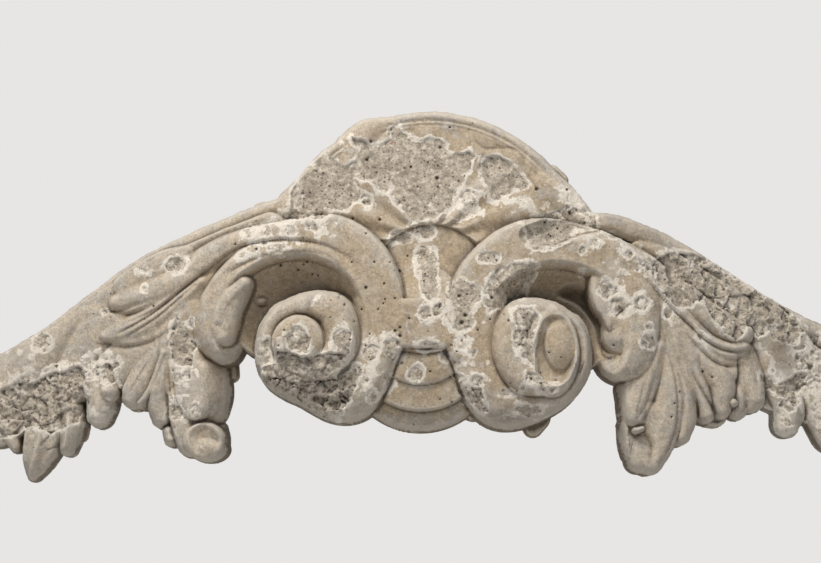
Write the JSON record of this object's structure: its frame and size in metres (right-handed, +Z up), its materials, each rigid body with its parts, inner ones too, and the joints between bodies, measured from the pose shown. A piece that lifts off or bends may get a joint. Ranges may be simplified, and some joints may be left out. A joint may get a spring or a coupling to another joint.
{
  "type": "cartouche",
  "caption": "Worn stone crest in relief: a domed shell panel over paired scrolls and a tongued neck, with an acanthus arm running down to each square-cut end; flat back for a wall.",
  "frame": {"origin": "on the flat back, on the crest's centre line, level with the eyes of the two scrolls", "axes": "+X along the wall to the right as seen from the front, +Y out of the back into the wall, +Z up; the relief faces -Y"},
  "size_m": [1.03, 0.1315, 0.4594],
  "materials": {
    "stone": "matte"
  },
  "bodies": {
    "root": {"cartouche": "stone"}
  },
  "joints": []
}
